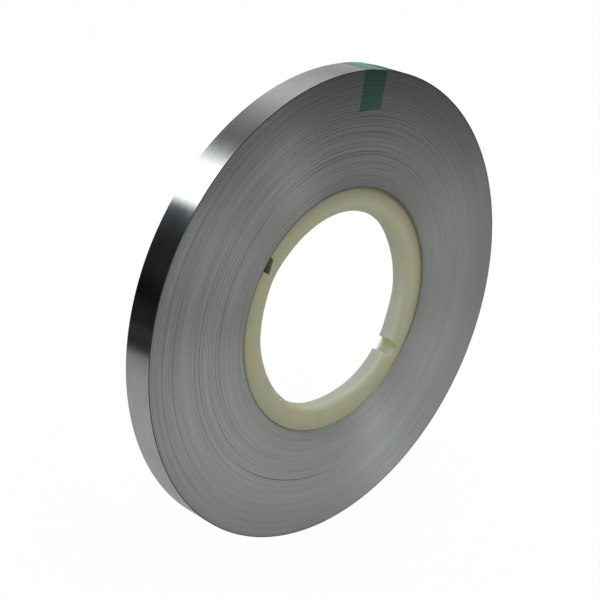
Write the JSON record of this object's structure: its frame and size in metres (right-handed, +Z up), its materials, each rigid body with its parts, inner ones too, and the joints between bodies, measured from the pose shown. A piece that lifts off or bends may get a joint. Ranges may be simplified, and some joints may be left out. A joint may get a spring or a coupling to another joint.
{
  "type": "nickel strip coil",
  "caption": "Coil of thin nickel-plated battery strip wound on a nylon core ring with a keyway, its outer end taped down.",
  "frame": {"origin": "under the coil's centre, at the rim's lowest point, midway between its two ends", "axes": "+Z up, the coil standing on its rim; its axis lies along Y, with the front end, where the core lies nearer, towards -Y"},
  "size_m": [0.1218, 0.0082, 0.1219],
  "materials": {
    "nickel_strip": "bright nickel plate, slit edges showing on the coil's ends",
    "core_nylon": "moulded natural nylon, satin",
    "green_tape": "thin polyester tape, slightly see-through"
  },
  "bodies": {
    "root": {"strip_coil": "nickel_strip", "core_ring": "core_nylon", "end_tape": "green_tape"}
  },
  "joints": []
}
